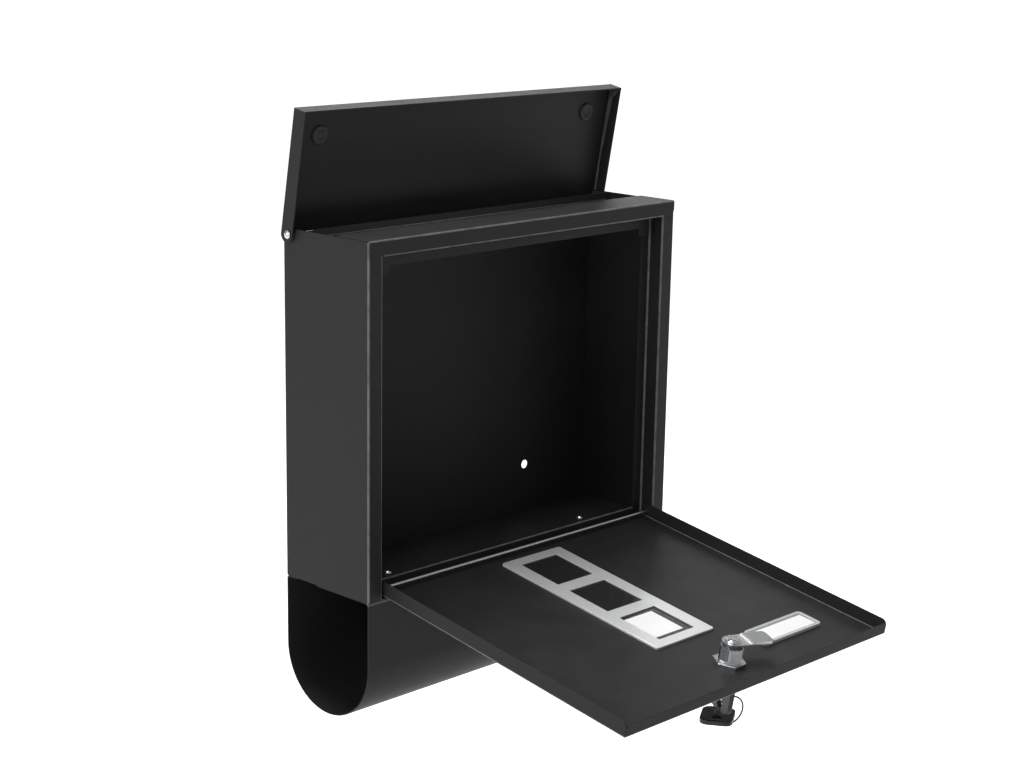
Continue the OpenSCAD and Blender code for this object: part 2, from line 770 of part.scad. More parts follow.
module as_spare() {
    // lies level below the first key, with the ring through its hole
    on_ring() translate([ring_r * (sin(ring_lean) - cos(spare_angle)),
        ring_r * (cos(ring_lean) + sin(spare_angle)), 0])
        rotate([90, 0, 0]) rotate([0, 0, lock_turn]) rotate([90 - door_open, 0, 0])
        rotate([0, 0, -spare_yaw]) rotate([-90, 0, 0]) rotate([0, 0, 90])
        translate([0, 0, -head_hole_h]) children();
}

module spare_blade() { color(steel_zinc) as_spare() blade_shape(); }

module spare_head() { color(plastic_black) as_spare() head_shape(); }

side_panel_left();
side_panel_right();
back_panel();
floor_panel();
front_rail();
rear_gutter();
newspaper_roll();
roll_screws();
roll_nuts();
hinge_rod();
rod_clips();
pivot_screws();
pivot_nuts();
lid_panel();
lid_spacers();
lid_bumpers();
door_panel();
window_plate();
window_pane();
window_label();
name_frame();
name_card();
name_cover();
lock_housing();
lock_gasket();
lock_nut();
lock_plug();
lock_cam();
cam_washer();
cam_screw();
key_blade();
key_head();
key_ring();
spare_blade();
spare_head();
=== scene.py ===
import json
from math import acos, cos, pi, radians, sin

import bmesh
import bpy
from mathutils import Matrix, Vector


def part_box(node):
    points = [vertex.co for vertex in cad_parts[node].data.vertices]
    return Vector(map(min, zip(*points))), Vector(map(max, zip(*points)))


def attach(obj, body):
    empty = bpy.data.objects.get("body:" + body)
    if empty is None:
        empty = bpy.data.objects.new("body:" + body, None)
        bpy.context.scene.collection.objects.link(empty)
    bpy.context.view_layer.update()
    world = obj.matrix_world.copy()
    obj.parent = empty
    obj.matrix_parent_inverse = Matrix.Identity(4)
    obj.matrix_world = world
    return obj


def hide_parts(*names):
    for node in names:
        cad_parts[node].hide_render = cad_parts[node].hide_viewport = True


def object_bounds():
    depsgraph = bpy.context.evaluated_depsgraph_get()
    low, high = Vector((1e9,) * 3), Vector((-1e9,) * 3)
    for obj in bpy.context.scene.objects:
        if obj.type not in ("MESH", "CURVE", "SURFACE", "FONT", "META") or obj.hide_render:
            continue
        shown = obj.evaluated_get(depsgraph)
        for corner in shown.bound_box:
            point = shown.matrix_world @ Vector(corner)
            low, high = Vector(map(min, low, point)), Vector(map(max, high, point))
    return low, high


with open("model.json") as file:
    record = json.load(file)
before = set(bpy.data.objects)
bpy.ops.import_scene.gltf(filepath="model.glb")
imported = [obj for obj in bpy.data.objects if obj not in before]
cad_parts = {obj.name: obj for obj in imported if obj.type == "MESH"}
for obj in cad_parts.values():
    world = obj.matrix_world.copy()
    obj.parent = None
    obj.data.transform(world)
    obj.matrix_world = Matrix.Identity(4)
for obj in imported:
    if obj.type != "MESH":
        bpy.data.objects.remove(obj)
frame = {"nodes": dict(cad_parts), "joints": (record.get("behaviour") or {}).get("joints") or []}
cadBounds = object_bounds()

mm = 0.001
joints = {joint["name"]: joint for joint in frame["joints"]}
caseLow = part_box("side_panel_left")[0]
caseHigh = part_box("side_panel_right")[1]
caseTop = caseHigh.z
caseBottom = caseLow.z
caseFront = -caseLow.y  # distance from the wall to the jambs


# ---- shader wiring ----

class Wire:
    # a socket that can be used in sums
    def __init__(self, finish, socket):
        self.finish = finish
        self.socket = socket

    def join(self, operation, first, second):
        return self.finish.node("ShaderNodeMath", {"operation": operation}, {0: first, 1: second})

    def __add__(self, other):
        return self.join("ADD", self, other)

    def __sub__(self, other):
        return self.join("SUBTRACT", self, other)

    def __mul__(self, other):
        return self.join("MULTIPLY", self, other)

    def __rsub__(self, other):
        return self.join("SUBTRACT", other, self)

    __radd__ = __add__
    __rmul__ = __mul__


class Finish:
    # a material whose nodes are added one call at a time
    def __init__(self, name, **constants):
        self.material = bpy.data.materials.new(name)
        self.material.use_nodes = True
        self.tree = self.material.node_tree
        self.shader = self.tree.nodes["Principled BSDF"]
        for socket, value in constants.items():
            self.shader.inputs[socket.replace("_", " ")].default_value = value

    def node(self, kind, settings=None, inputs=None, output=0):
        node = self.tree.nodes.new(kind)
        for name, value in (settings or {}).items():
            if name == "stops":
                self.setRamp(node.color_ramp, value)
            else:
                setattr(node, name, value)
        for socket, value in (inputs or {}).items():
            self.feed(node.inputs[socket], value)
        return Wire(self, node.outputs[output])

    def setRamp(self, ramp, stops):
        while len(ramp.elements) < len(stops):
            ramp.elements.new(0.5)
        for element, (place, value) in zip(ramp.elements, stops):
            element.position = place
            element.color = (value, value, value, 1) if isinstance(value, (int, float)) else (*value, 1)

    def feed(self, socket, value):
        if isinstance(value, Wire):
            self.tree.links.new(value.socket, socket)
        else:
            socket.default_value = value

    def surface(self, **wires):
        for socket, wire in wires.items():
            self.feed(self.shader.inputs[socket.replace("_", " ")], wire)

    def place(self, scale=(1, 1, 1), turn=(0, 0, 0)):
        coords = self.node("ShaderNodeTexCoord", output="Object")
        return self.node("ShaderNodeMapping", {}, {"Vector": coords, "Scale": scale, "Rotation": turn})

    def noise(self, where, scale, detail=2, roughness=0.5):
        return self.node("ShaderNodeTexNoise", {},
                         {"Vector": where, "Scale": scale, "Detail": detail, "Roughness": roughness})

    def clamp(self, wire, low, high, toLow=0.0, toHigh=1.0):
        return self.node("ShaderNodeMapRange", {}, {"Value": wire, "From Min": low, "From Max": high,
                                                    "To Min": toLow, "To Max": toHigh})

    def blend(self, factor, first, second):
        first, second = ((*tone, 1) if isinstance(tone, tuple) else tone for tone in (first, second))
        return self.node("ShaderNodeMix", {"data_type": "RGBA", "clamp_factor": True},
                         {0: factor, 6: first, 7: second}, output=2)

    def split(self, where, output):
        return self.node("ShaderNodeSeparateXYZ", {}, {0: where}, output=output)

    def bump(self, height, depth):
        return self.node("ShaderNodeBump", {}, {"Height": height, "Distance": depth, "Strength": 1.0})


powderLook = {
    "tone": (0.0118, 0.0121, 0.0131), "light": (0.0148, 0.0151, 0.0162), "tip": (0.03, 0.0305, 0.032),
    # fold is the colour of the painted highlight along the sheet's bends
    "fold": (0.15, 0.151, 0.154), "dust": (0.2, 0.195, 0.185), "settled": 0.04,
    "grain": 0.07 * mm, "gloss": 0.56, "shine": 0.3,
}


def powderCoatFinish():
    look = powderLook
    finish = Finish("powderCoat", Specular_IOR_Level=look["shine"])
    where = finish.place()
    grain = finish.noise(where, 1300, 3, 0.6)  # the coat's fine texture, under a millimetre
    peel = finish.noise(where, 320, 2)
    cloud = finish.noise(where, 9, 3)
    speck = finish.clamp(finish.noise(where, 2600, 1), 0.66, 0.72)
    tone = finish.blend(finish.clamp(cloud, 0.35, 0.65), look["tone"], look["light"])
    tone = finish.blend(finish.clamp(grain, 0.4, 0.75, 0, 0.35), tone, look["tip"])
    up = finish.split(finish.node("ShaderNodeNewGeometry", output="Normal"), 2)
    patches = finish.clamp(finish.noise(where, 40, 4), 0.35, 0.75)
    tone = finish.blend(finish.clamp(up, 0.6, 1.0) * patches * look["settled"], tone, look["dust"])
    # a painted highlight along the sheet's bends: the tone is lightened there, patchy by noise, and the coat
    # made a little glossier
    fold = finish.node("ShaderNodeAttribute", {"attribute_name": "fold"}, output="Fac")
    foldHighlight = fold * finish.clamp(finish.noise(where, 90, 3), 0.3, 0.6, 0.55, 1.0)
    tone = finish.blend(foldHighlight, tone, look["fold"])
    gloss = look["gloss"] + 0.1 * (cloud - 0.5) + 0.12 * (peel - 0.5) + 0.15 * speck - 0.12 * foldHighlight
    finish.surface(Base_Color=tone, Roughness=gloss,
                   Normal=finish.bump(grain * 0.8 + peel * 0.5, look["grain"]))
    return finish.material


silverLook = {"light": (0.8, 0.81, 0.81), "dark": (0.74, 0.75, 0.755), "gloss": 0.36, "grain": 0.02 * mm}


def silverPlateFinish():
    look = silverLook
    finish = Finish("silverPlate", Metallic=0.35)
    where = finish.place()
    fine = finish.noise(where, 1800, 2)
    drift = finish.noise(where, 14, 3)
    drawn = finish.noise(finish.place(scale=(40, 1, 1)), 60, 2)  # faint rolling lines
    tone = finish.blend(finish.clamp(drift, 0.3, 0.7), look["dark"], look["light"])
    finish.surface(Base_Color=tone, Roughness=look["gloss"] + 0.1 * (drift - 0.5) + 0.08 * (drawn - 0.5),
                   Normal=finish.bump(fine + drawn * 0.5, look["grain"]))
    return finish.material


def platedFinish(name, light, dark, gloss, grain=0.02 * mm):
    finish = Finish(name, Metallic=1.0)
    where = finish.place()
    drift = finish.noise(where, 160, 3)
    fine = finish.noise(where, 2400, 2)
    askew = finish.place(scale=(1, 6, 1), turn=(0.4, 0.2, 0.6))
    marks = finish.clamp(finish.noise(askew, 700, 3), 0.62, 0.7)  # fine handling scratches
    tone = finish.blend(finish.clamp(drift, 0.3, 0.7), light, dark)
    finish.surface(Base_Color=tone, Roughness=gloss + 0.14 * (drift - 0.5) + 0.2 * marks,
                   Normal=finish.bump(fine + drift * 0.4, grain))
    return finish.material


def plasticFinish(name, tone, gloss, grain, alpha=1.0, lift=0.02):
    finish = Finish(name, Alpha=alpha)
    where = finish.place()
    pores = finish.noise(where, 1500, 3)
    drift = finish.noise(where, 60, 3)
    lighter = tuple(part + lift for part in tone)
    finish.surface(Base_Color=finish.blend(finish.clamp(drift, 0.3, 0.7), tone, lighter),
                   Roughness=gloss + 0.12 * (drift - 0.5) + 0.06 * (pores - 0.5),
                   Normal=finish.bump(pores, grain))
    return finish.material


paperLook = {"light": (0.93, 0.93, 0.92), "dark": (0.9, 0.9, 0.885), "gloss": 0.6, "grain": 0.02 * mm}


def paperFinish():
    look = paperLook
    finish = Finish("paper")
    where = finish.place()
    fibre = finish.noise(finish.place(scale=(1, 3, 1)), 900, 4)
    drift = finish.noise(where, 30, 3)
    tone = finish.blend(finish.clamp(drift, 0.3, 0.7), look["dark"], look["light"])
    finish.surface(Base_Color=tone, Roughness=look["gloss"] + 0.1 * (fibre - 0.5),
                   Normal=finish.bump(fibre, look["grain"]))
    return finish.material


finishes = {
    "powder": powderCoatFinish(),
    "silver": silverPlateFinish(),
    "nickel": platedFinish("nickel", (0.9, 0.915, 0.925), (0.78, 0.795, 0.81), 0.2),
    "zinc": platedFinish("zinc", (0.84, 0.85, 0.86), (0.74, 0.75, 0.77), 0.26),
    "smoke": plasticFinish("smokePane", (0.026, 0.0265, 0.028), 0.09, 0.003 * mm, alpha=0.8, lift=0.004),
    "clear": plasticFinish("clearPlastic", (0.86, 0.88, 0.9), 0.1, 0.008 * mm, alpha=0.06),
    # the clear plastic rim is drawn light grey and mostly opaque, painted light standing in for the light the
    # clear rim catches
    "rim": plasticFinish("clearRimPaintedLight", (0.66, 0.68, 0.69), 0.2, 0.01 * mm, alpha=0.7),
    "paper": paperFinish(),
    "rubber": plasticFinish("rubber", (0.022, 0.0205, 0.019), 0.62, 0.05 * mm, lift=0.01),
    "nylon": plasticFinish("nylon", (0.02, 0.02, 0.021), 0.42, 0.02 * mm),
    "keyBlack": plasticFinish("keyPlastic", (0.008, 0.008, 0.0085), 0.34, 0.03 * mm, lift=0.004),
    "wireBlack": plasticFinish("blackWire", (0.01, 0.01, 0.011), 0.3, 0.02 * mm, lift=0.006),
}
print("finishes made:", len(finishes))


# ---- making pieces ----

def turn(angle, axis):
    return Matrix.Rotation(radians(angle), 4, axis)


def shift(x=0.0, y=0.0, z=0.0):
    return Matrix.Translation((x, y, z))


tiny = 0.01 * mm  # how near a point counts as being on a line
bendSteps = {"small": 5, "large": 24, "largeFrom": 5 * mm}


def pointsOf(made):
    return [part for part in made["geom"] if isinstance(part, bmesh.types.BMVert)]


def roundPoints(bm, points, radius, segments, clamped=True):
    bmesh.ops.bevel(bm, geom=points, offset=radius, offset_type="OFFSET", affect="VERTICES",
                    segments=segments, profile=0.5, material=-1, clamp_overlap=clamped)


def roundBends(bm, radius):
    # rounds the square bends of a folded sheet
    bm.normal_update()
    bends = [edge for edge in bm.edges if len(edge.link_faces) == 2 and edge.calc_face_angle(0) > radians(60)]
    bmesh.ops.bevel(bm, geom=bends, offset=radius, offset_type="OFFSET", affect="EDGES",
                    segments=bendSteps["small"], profile=0.5, material=-1, clamp_overlap=True)


def foldedStrip(points, radii, low, high, spread):
    # a sheet's outer face: a path through points, its corners rounded, drawn out from low to high;
    # spread turns (width, a, b) into a place
    bm = bmesh.new()
    verts = [bm.verts.new(spread(low, a, b)) for a, b in points]
    for first, second in zip(verts, verts[1:]):
        bm.edges.new((first, second))
    order = sorted(zip(radii, verts[1:-1]), key=lambda pair: -pair[0])
    for radius, vert in order:
        size = "small" if radius < bendSteps["largeFrom"] else "large"
        roundPoints(bm, [vert], radius, bendSteps[size], clamped=False)
    grown = bmesh.ops.extrude_edge_only(bm, edges=bm.edges[:])
    bmesh.ops.translate(bm, vec=spread(high, 0, 0) - spread(low, 0, 0), verts=pointsOf(grown))
    return bm


def cut(bm, axis, *places):
    # adds edges across the whole mesh where axis has these values
    normal = Vector((axis == "x", axis == "y", axis == "z"))
    for place in places:
        bmesh.ops.bisect_plane(bm, geom=bm.verts[:] + bm.edges[:] + bm.faces[:], dist=1e-7,
                               plane_co=normal * place, plane_no=normal)


def drop(bm, test):
    # deletes the faces whose middle passes the test
    bmesh.ops.delete(bm, geom=[face for face in bm.faces if test(face.calc_center_median())], context="FACES")


def roundCorners(bm, radius, test):
    # rounds the sheet's outer corners that pass the test
    roundPoints(bm, [vert for vert in bm.verts if vert.is_boundary and test(vert.co)], radius, 6)


def faceOut(bm, test, outward):
    # makes all faces agree, with the face nearest to the test point looking outward
    bmesh.ops.recalc_face_normals(bm, faces=bm.faces[:])
    bm.normal_update()
    nearest = min(bm.faces, key=lambda face: (face.calc_center_median() - Vector(test)).length)
    if nearest.normal.dot(Vector(outward)) < 0:
        bmesh.ops.reverse_faces(bm, faces=bm.faces[:])


foldWidth = 0.9 * mm


def markFolds(bm):
    # marks the narrow faces of the bends, where the finish paints a highlight
    layer = bm.faces.layers.float.new("fold")
    for face in bm.faces:
        width = face.calc_area() / max(edge.calc_length() for edge in face.edges)
        bent = any(radians(6) < abs(edge.calc_face_angle(0)) < radians(50) for edge in face.edges)
        face[layer] = float(bent and width < foldWidth)


def finishPiece(name, bm, body, finish, node, slot, place=None, wall=0.0, soft=0.0, smooth=35):
    # wall is the sheet's thickness, soft the easing of its edges, smooth the angle that still shades smoothly
    if place is not None:
        bmesh.ops.transform(bm, matrix=place, verts=bm.verts[:])
    if finish == "powder":
        markFolds(bm)
    for face in bm.faces:
        face.smooth = True
    for edge in bm.edges:
        edge.smooth = edge.calc_face_angle(0) < radians(smooth)
    mesh = bpy.data.meshes.new(name)
    bm.to_mesh(mesh)
    bm.free()
    piece = bpy.data.objects.new(name, mesh)
    bpy.context.scene.collection.objects.link(piece)
    mesh.materials.append(finishes[finish])
    if wall:
        modifier = piece.modifiers.new("wall", "SOLIDIFY")
        modifier.thickness = wall
        modifier.offset = -1
        modifier.use_even_offset = True
    if soft:
        modifier = piece.modifiers.new("edges", "BEVEL")
        modifier.width = soft
        modifier.segments = 2
        modifier.limit_method = "ANGLE"
        modifier.angle_limit = radians(45)
        modifier.harden_normals = True
    if wall or soft:
        modifier = piece.modifiers.new("normals", "WEIGHTED_NORMAL")
        modifier.keep_sharp = True
    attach(piece, body)
    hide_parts(node)


def softCopy(name, node, body, finish, slot, soft=0.2 * mm):
    # a CAD solid with its flats joined up and its edges eased
    bm = bmesh.new()
    bm.from_mesh(frame["nodes"][node].data)
    bmesh.ops.remove_doubles(bm, verts=bm.verts[:], dist=1e-6)
    bmesh.ops.dissolve_limit(bm, angle_limit=radians(1), verts=bm.verts[:], edges=bm.edges[:])
    finishPiece(name, bm, body, finish, node, slot, soft=soft)


# ---- case ----

case = {
    "wall": 1.0 * mm, "bend": 1.4 * mm, "jamb": 15 * mm, "recess": 16 * mm, "seat": 11 * mm,
    "slotWide": 1.6 * mm, "slotBack": 10 * mm, "slotLow": 263 * mm, "slotHigh": 275 * mm,
    "ease": 0.25 * mm, "fineEase": 0.2 * mm, "notchDeep": 3.3 * mm, "notchRound": 2.4 * mm,
}
halfCase = caseHigh.x


def makeSidePanel(side, name, node):
    c = case
    jamb = halfCase - c["jamb"]
    seat = -caseFront + c["recess"] - c["wall"]
    points = [(halfCase, 0), (halfCase, -caseFront), (jamb, -caseFront), (jamb, seat), (jamb - c["seat"], seat)]
    bm = foldedStrip(points, [c["bend"]] * 3, caseBottom, caseTop, lambda h, a, b: Vector((side * a, b, h)))
    # slot that the stop strip's end catches in
    front = -caseFront + c["slotBack"]
    back = front + c["slotWide"]
    low, high = caseBottom + c["slotLow"], caseBottom + c["slotHigh"]
    cut(bm, "y", front, back)
    cut(bm, "z", low, high)
    drop(bm, lambda p: front < p.y < back and abs(p.x) < jamb + c["bend"] and low < p.z < high)
    # rear top corner, cut away for the lid's roof to swing past
    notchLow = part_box("back_panel")[1].z
    cut(bm, "y", -c["notchDeep"])
    cut(bm, "z", notchLow)
    drop(bm, lambda p: p.y > -c["notchDeep"] and p.z > notchLow)
    roundCorners(bm, c["notchRound"], lambda p: p.z > caseTop - tiny and abs(p.y + c["notchDeep"]) < tiny)
    faceOut(bm, (side * halfCase, -caseFront / 2, 0), (side, 0, 0))
    finishPiece(name, bm, "case", "powder", node, "powder_coat", wall=c["wall"], soft=c["ease"])


makeSidePanel(-1, "sidePanelLeft", "side_panel_left")
makeSidePanel(1, "sidePanelRight", "side_panel_right")


def sideView(x, y, z):
    return Vector((x, y, z))


floorPlan = {"lipHalf": 156 * mm, "hem": 2 * mm, "hemDown": 5 * mm, "bend": 1.4 * mm, "hemBend": 0.96 * mm,
             "cornerUp": 2 * mm}


def makeFloor():
    f = floorPlan
    low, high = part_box("floor_panel")
    points = [(high.y, low.z), (low.y, low.z), (low.y, high.z), (low.y + f["hem"], high.z),
              (low.y + f["hem"], high.z - f["hemDown"])]
    bm = foldedStrip(points, [f["bend"], f["hemBend"], f["hemBend"]], low.x, high.x, sideView)
    cut(bm, "x", -f["lipHalf"], f["lipHalf"])
    lipBack = low.y + case["wall"]
    cut(bm, "y", lipBack)
    drop(bm, lambda p: abs(p.x) > f["lipHalf"] and (p.y < lipBack or p.z > low.z + f["cornerUp"]))
    faceOut(bm, (0, low.y / 2, low.z), (0, 0, -1))
    finishPiece("floorPanel", bm, "case", "powder", "floor_panel", "powder_coat",
                wall=case["wall"], soft=case["fineEase"])


makeFloor()

rail = {
    "stripHalf": 149.5 * mm, "tabHalf": 162.5 * mm, "returnHalf": 166.5 * mm, "foldHalf": 175 * mm,
    "faceHigh": 13.5 * mm, "stripBack": 13.4 * mm, "stripHigh": 10.5 * mm, "foldDown": 8 * mm,
    "bend": 1.3 * mm, "corner": 5 * mm, "tabCorner": 3 * mm,
}


def makeRail():
    r = rail
    low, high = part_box("front_rail")
    faceLow = high.z - r["faceHigh"]
    stripFront = low.y + r["stripBack"]
    points = [(stripFront, low.z), (stripFront, faceLow), (low.y, faceLow), (low.y, high.z), (high.y, high.z),
              (high.y, high.z - r["foldDown"])]
    bm = foldedStrip(points, [r["bend"]] * 4, low.x, high.x, sideView)
    for half in (r["stripHalf"], r["tabHalf"], r["returnHalf"], r["foldHalf"]):
        cut(bm, "x", -half, half)
    stripLow = faceLow - r["stripHigh"]
    cut(bm, "z", stripLow)

    def waste(p):
        wide = abs(p.x)
        below = p.z < faceLow - tiny
        return ((below and (wide > r["tabHalf"] or (wide < r["stripHalf"] and p.z < stripLow)))
                or (p.z < faceLow + r["bend"] and wide > r["returnHalf"])
                or (p.y > high.y - r["bend"] and wide > r["foldHalf"]))

    drop(bm, waste)
    bendTop = faceLow + r["bend"]
    roundCorners(bm, r["corner"], lambda p: abs(p.x) > high.x - tiny and abs(p.z - bendTop) < 10 * tiny)
    roundCorners(bm, r["tabCorner"], lambda p: abs(abs(p.x) - r["tabHalf"]) < tiny and p.z < low.z + tiny)
    faceOut(bm, (0, (low.y + high.y) / 2, high.z), (0, 0, 1))
    finishPiece("frontRail", bm, "case", "powder", "front_rail", "powder_coat",
                wall=case["wall"], soft=case["fineEase"])


makeRail()

gutter = {"lip": 7 * mm, "bend": 1.2 * mm, "corner": 2 * mm}


def makeGutter():
    g = gutter
    low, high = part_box("rear_gutter")
    shelf = high.z - g["lip"]
    tail = high.y - case["wall"]
    points = [(tail, low.z), (tail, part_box("back_panel")[1].z - case["wall"]), (low.y, shelf), (low.y, high.z)]
    bm = foldedStrip(points, [g["bend"]] * 2, low.x, high.x, sideView)
    roundCorners(bm, g["corner"], lambda p: p.z > high.z - tiny)
    faceOut(bm, (0, low.y / 2, shelf), (0, 0, -1))
    finishPiece("rearGutter", bm, "case", "powder", "rear_gutter", "powder_coat",
                wall=case["wall"], soft=case["fineEase"])


makeGutter()

roll = {"rearFlange": 13 * mm, "frontFlange": 64 * mm, "bend": 2.2 * mm}


def makeRoll():
    r = roll
    low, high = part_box("newspaper_roll")
    radius = (high.y - low.y) / 2
    points = [(high.y - r["rearFlange"], high.z), (high.y, high.z), (high.y, low.z),
              (low.y, low.z), (low.y, high.z), (low.y + r["frontFlange"], high.z)]
    halfRound = radius - 0.1 * tiny  # the two quarters meet in one line, merged below
    bm = foldedStrip(points, [r["bend"], halfRound, halfRound, r["bend"]], low.x, high.x, sideView)
    bmesh.ops.remove_doubles(bm, verts=bm.verts[:], dist=tiny)
    faceOut(bm, (0, high.y, high.z - radius / 2), (0, 1, 0))
    finishPiece("newspaperRoll", bm, "case", "powder", "newspaper_roll", "powder_coat",
                wall=case["wall"], soft=case["fineEase"])


makeRoll()
softCopy("backPanel", "back_panel", "case", "powder", "powder_coat", 0.15 * mm)
print("case made")

# ---- lid ----

lid = {"open": 80, "roofUp": 8.5 * mm, "flange": 14 * mm, "ear": 7 * mm, "rear": 2 * mm, "bend": 1.2 * mm,
       "earSteps": 28, "front": 101.7 * mm}
lidPivot = Vector(joints["lid_hinge"]["pos_m"])
lidPlace = Matrix.Translation(lidPivot) @ turn(-lid["open"], "X")


def makeLid():
    l = lid
    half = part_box("lid_panel")[1].x
    front, roof, base, rear = -l["front"], l["roofUp"], l["roofUp"] - l["flange"], l["rear"]
    bm = bmesh.new()
    roofRear = [bm.verts.new((side * half, rear, roof)) for side in (-1, 1)]
    roofFront = [bm.verts.new((side * half, front, roof)) for side in (-1, 1)]
    lowFront = [bm.verts.new((side * half, front, base)) for side in (-1, 1)]
    bm.faces.new((roofRear[0], roofFront[0], roofFront[1], roofRear[1]))
    bm.faces.new((roofFront[0], lowFront[0], lowFront[1], roofFront[1]))
    middle = roof - l["ear"]
    start = acos(rear / l["ear"])
    for side in (0, 1):  # side flanges, with round ears at the pivots
        x = (-half, half)[side]
        angles = [start + (-pi / 2 - start) * i / l["earSteps"] for i in range(l["earSteps"] + 1)]
        ear = [bm.verts.new((x, l["ear"] * cos(angle), middle + l["ear"] * sin(angle))) for angle in angles]
        bm.faces.new([roofRear[side]] + ear + [lowFront[side], roofFront[side]])
    roundBends(bm, l["bend"])
    faceOut(bm, (0, front / 2, roof), (0, 0, 1))
    finishPiece("lidPanel", bm, "lid", "powder", "lid_panel", "powder_coat", lidPlace,
                wall=case["wall"], soft=case["ease"])


makeLid()


def spun(profile, place, steps):
    # a solid turned from a closed profile of (radius, height), about z
    bm = bmesh.new()
    verts = [bm.verts.new((radius, 0, height)) for radius, height in profile]
    edges = [bm.edges.new(pair) for pair in zip(verts, verts[1:] + verts[:1])]
    bmesh.ops.spin(bm, geom=verts + edges, cent=(0, 0, 0), axis=(0, 0, 1), angle=2 * pi,
                   steps=steps, use_merge=True)
    bmesh.ops.remove_doubles(bm, verts=bm.verts[:], dist=1e-7)
    bmesh.ops.dissolve_degenerate(bm, dist=1e-8, edges=bm.edges[:])
    bmesh.ops.recalc_face_normals(bm, faces=bm.faces[:])
    bmesh.ops.transform(bm, matrix=place, verts=bm.verts[:])
    return bm


def gather(parts):
    # joins several meshes into the first
    whole = parts[0]
    for part in parts[1:]:
        mesh = bpy.data.meshes.new("part")
        part.to_mesh(mesh)
        part.free()
        whole.from_mesh(mesh)
        bpy.data.meshes.remove(mesh)
    return whole


bumper = {"x": 157 * mm, "out": 78 * mm, "radius": 8 * mm, "thick": 2 * mm, "dish": 4 * mm,
          "dishSlope": 0.6 * mm}


def makeBumpers():
    b = bumper
    under = lid["roofUp"] - case["wall"]
    r, t = b["radius"], b["thick"]
    # the rim's outline, rounded at its foot and dished in the middle, as (radius, share of the thickness)
    outline = [(0, 0), (r, 0), (r, 0.5), (r - 0.3 * t, 0.85), (r - 0.7 * t, 1), (b["dish"] + b["dishSlope"], 1),
               (b["dish"], 0.7), (b["dish"] - b["dishSlope"], 0.45), (0, 0.4)]
    profile = [(radius, under - share * t) for radius, share in outline]
    parts = [spun(profile, lidPlace @ shift(side * b["x"], -b["out"], 0), 40) for side in (-1, 1)]
    finishPiece("lidBumpers", gather(parts), "lid", "rubber", "lid_bumpers", "rubber", smooth=50)


makeBumpers()
print("lid made")

# ---- door ----

door = {
    "open": 99.3, "rodIn": 5.2 * mm, "rodUp": 4.5 * mm, "height": 274.9 * mm,
    "side": 12.8 * mm, "free": 10.6 * mm, "bend": 1.5 * mm, "flangeRound": 5 * mm, "cornerGap": 1.0 * mm,
    "window": 45 * mm, "pitch": 57 * mm, "windowMid": 104.8 * mm, "windows": 3,
    "nameX": 88 * mm, "nameUp": 224.5 * mm, "slotWide": 62 * mm, "slotHigh": 15 * mm,
}
doorPivot = Vector(joints["door_hinge"]["pos_m"])
doorPlace = Matrix.Translation(doorPivot) @ turn(door["open"], "X") @ shift(0, -door["rodIn"], -door["rodUp"])
middleWindow = (door["windows"] - 1) / 2
windowMids = [door["windowMid"] + (i - middleWindow) * door["pitch"] for i in range(door["windows"])]


def cutWindows(bm, side):
    half = side / 2
    cut(bm, "x", -half, half)
    for mid in windowMids:
        cut(bm, "z", mid - half, mid + half)
    drop(bm, lambda p: abs(p.x) < half and any(abs(p.z - mid) < half for mid in windowMids))


def makeDoor():
    d = door
    low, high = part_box("door_panel")
    half = high.x
    bm = bmesh.new()
    top = d["height"]
    bm.faces.new([bm.verts.new(p) for p in ((-half, 0, 0), (half, 0, 0), (half, 0, top), (-half, 0, top))])
    for edge in list(bm.edges):  # a flange on each side but the hinge's
        middle = (edge.verts[0].co + edge.verts[1].co) / 2
        if middle.z < tiny:
            continue
        atFree = middle.z > top - tiny
        verts = pointsOf(bmesh.ops.extrude_edge_only(bm, edges=[edge]))
        bmesh.ops.translate(bm, vec=(0, d["free"] if atFree else d["side"], 0), verts=verts)
        if atFree:  # the free flange stops short of the side flanges
            for vert in verts:
                vert.co.x -= d["cornerGap"] * (1 if vert.co.x > 0 else -1)
    roundCorners(bm, d["flangeRound"], lambda p: p.y > d["side"] - tiny)
    roundBends(bm, d["bend"])
    cutWindows(bm, d["window"])
    nameLeft, nameRight = d["nameX"] - d["slotWide"] / 2, d["nameX"] + d["slotWide"] / 2
    nameLow, nameHigh = d["nameUp"] - d["slotHigh"] / 2, d["nameUp"] + d["slotHigh"] / 2
    cut(bm, "x", nameLeft, nameRight)
    cut(bm, "z", nameLow, nameHigh)
    drop(bm, lambda p: nameLeft < p.x < nameRight and nameLow < p.z < nameHigh and p.y < tiny)
    faceOut(bm, (half * 0.7, 0, d["window"]), (0, -1, 0))
    finishPiece("doorPanel", bm, "door", "powder", "door_panel", "powder_coat", doorPlace,
                wall=case["wall"], soft=case["ease"])


makeDoor()

plate = {"wide": 71.5 * mm, "end": 9.5 * mm, "lift": 2 * mm, "thick": 1 * mm, "corner": 2.5 * mm,
         "overlap": 1 * mm, "ease": 0.3 * mm}


def roundedSheet(left, right, low, high, out, corner, segments):
    # one flat face along the door, with round corners
    bm = bmesh.new()
    corners = ((left, low), (right, low), (right, high), (left, high))
    bm.faces.new([bm.verts.new((x, out, z)) for x, z in corners])
    roundPoints(bm, bm.verts[:], corner, segments, clamped=False)
    return bm


def makeWindowPlate():
    p = plate
    low = windowMids[0] - door["window"] / 2 - p["end"]
    high = windowMids[-1] + door["window"] / 2 + p["end"]
    half = p["wide"] / 2
    top = case["wall"] + p["lift"]
    bm = roundedSheet(-half, half, low, high, top, p["corner"], 6)
    rim = bmesh.ops.extrude_edge_only(bm, edges=bm.edges[:])  # the edge turned down to the door
    bmesh.ops.translate(bm, vec=(0, case["wall"] - top, 0), verts=pointsOf(rim))
    cutWindows(bm, door["window"] - p["overlap"])
    faceOut(bm, (half - p["end"] / 2, top, windowMids[0]), (0, 1, 0))
    finishPiece("windowPlate", bm, "door", "silver", "window_plate", "silver_plate", doorPlace,
                wall=p["thick"], soft=p["ease"])


